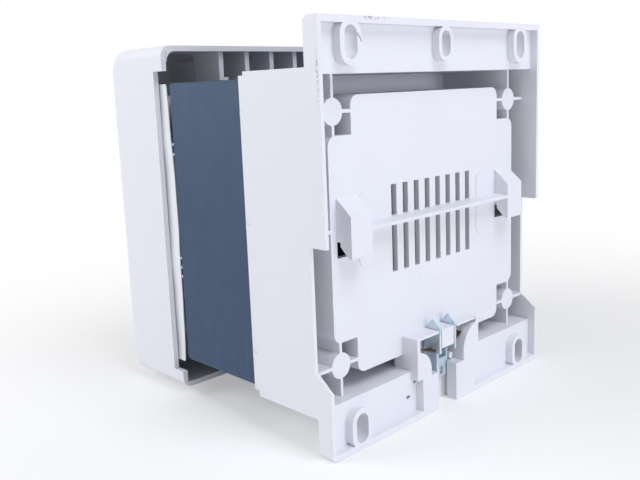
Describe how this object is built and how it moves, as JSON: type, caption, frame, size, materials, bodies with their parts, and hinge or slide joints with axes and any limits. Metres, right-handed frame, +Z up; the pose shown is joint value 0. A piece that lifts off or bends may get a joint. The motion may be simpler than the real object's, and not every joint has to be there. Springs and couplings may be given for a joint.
{
  "type": "mains transformer",
  "caption": "Enclosed iron-core transformer in a plastic housing with slotted wall flanges, rail hooks, a sprung steel rail clip and screw terminals.",
  "frame": {"origin": "centre of the rear mounting plane", "axes": "+Y out of the back towards the wall, -Y to the terminal side, +Z up, +X to the left as seen from behind"},
  "size_m": [0.1094, 0.1067, 0.123],
  "materials": {
    "housing": "satin light grey",
    "cover": "satin light grey",
    "zinc_steel": "zinc plated",
    "spring_bronze": "dull bronze",
    "core": "varnished dark blue-grey",
    "former": "glass filled",
    "copper_wire": "enamelled copper",
    "insulation": "film",
    "tape": "polyester tape",
    "liner": "white sheet",
    "terminal_body": "moulded",
    "terminal_brass": "plain",
    "screw_steel": "zinc plated"
  },
  "bodies": {
    "housing": {"base_housing": "housing", "front_cover": "cover", "core_e_stack": "core", "core_i_stack": "core", "coil_former": "former", "primary_winding": "copper_wire", "layer_insulation": "insulation", "secondary_winding": "copper_wire", "outer_tape": "tape", "side_liners": "liner", "top_terminal_block": "terminal_body", "bottom_terminal_block": "terminal_body", "terminal_cages": "terminal_brass", "terminal_screws": "screw_steel", "contact_bars": "terminal_brass", "primary_leads": "copper_wire", "secondary_leads": "copper_wire", "housing_screws": "screw_steel", "screw_washers": "screw_steel"},
    "clip": {"din_clip": "zinc_steel", "clip_spring": "spring_bronze"}
  },
  "joints": [
    {"name": "clip_slide", "type": "slide", "parent": "housing", "child": "clip", "axis": [0, 0, -1], "range_m": [0, 0.005], "stiffness_N_per_m": 3000, "springref_m": -0.001, "deforming": ["clip_spring"]}
  ]
}
